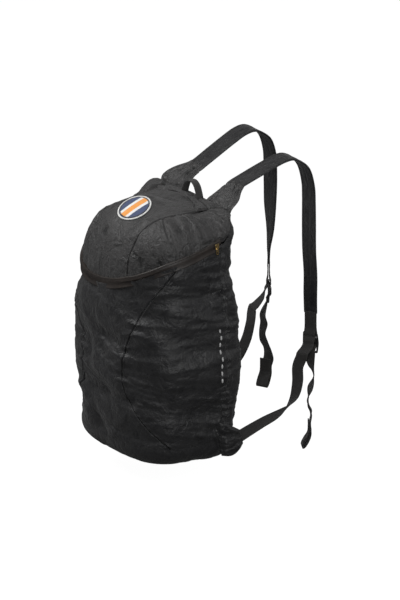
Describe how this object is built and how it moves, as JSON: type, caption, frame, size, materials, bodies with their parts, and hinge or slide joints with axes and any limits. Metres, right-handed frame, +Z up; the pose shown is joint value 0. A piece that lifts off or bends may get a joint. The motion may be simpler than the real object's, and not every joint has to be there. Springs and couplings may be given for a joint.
{
  "type": "packable backpack",
  "caption": "Thin black nylon packable day bag with a zipped lid, round patch, two shoulder straps and ladder-lock webbing.",
  "frame": {"origin": "midway under the two strap crowns, where the wearer's shoulders carry the bag", "axes": "+Z up, -Y towards the bag's front, +X towards the wearer's right"},
  "size_m": [0.2726, 0.3321, 0.4676],
  "materials": {
    "nylon": "crinkled satin",
    "zip_tape": "matte",
    "webbing": "matte",
    "buckle": "matte",
    "brass": "satin",
    "badge": "matte"
  },
  "bodies": {
    "root": {"back_panel": "nylon", "badge": "badge", "base_panel": "nylon", "front_panel": "nylon", "haul_loop": "webbing", "lid_top_panel": "nylon", "zip_flap": "zip_tape", "zip_pull": "brass", "corner_tab_right": "nylon", "ladder_lock_right": "buckle", "lid_side_right": "nylon", "shoulder_strap_right": "nylon", "side_panel_right": "nylon", "strap_cuff_right": "webbing", "webbing_right": "webbing", "yoke_right": "nylon", "corner_tab_left": "nylon", "ladder_lock_left": "buckle", "lid_side_left": "nylon", "shoulder_strap_left": "nylon", "side_panel_left": "nylon", "strap_cuff_left": "webbing", "webbing_left": "webbing", "yoke_left": "nylon"}
  },
  "joints": []
}
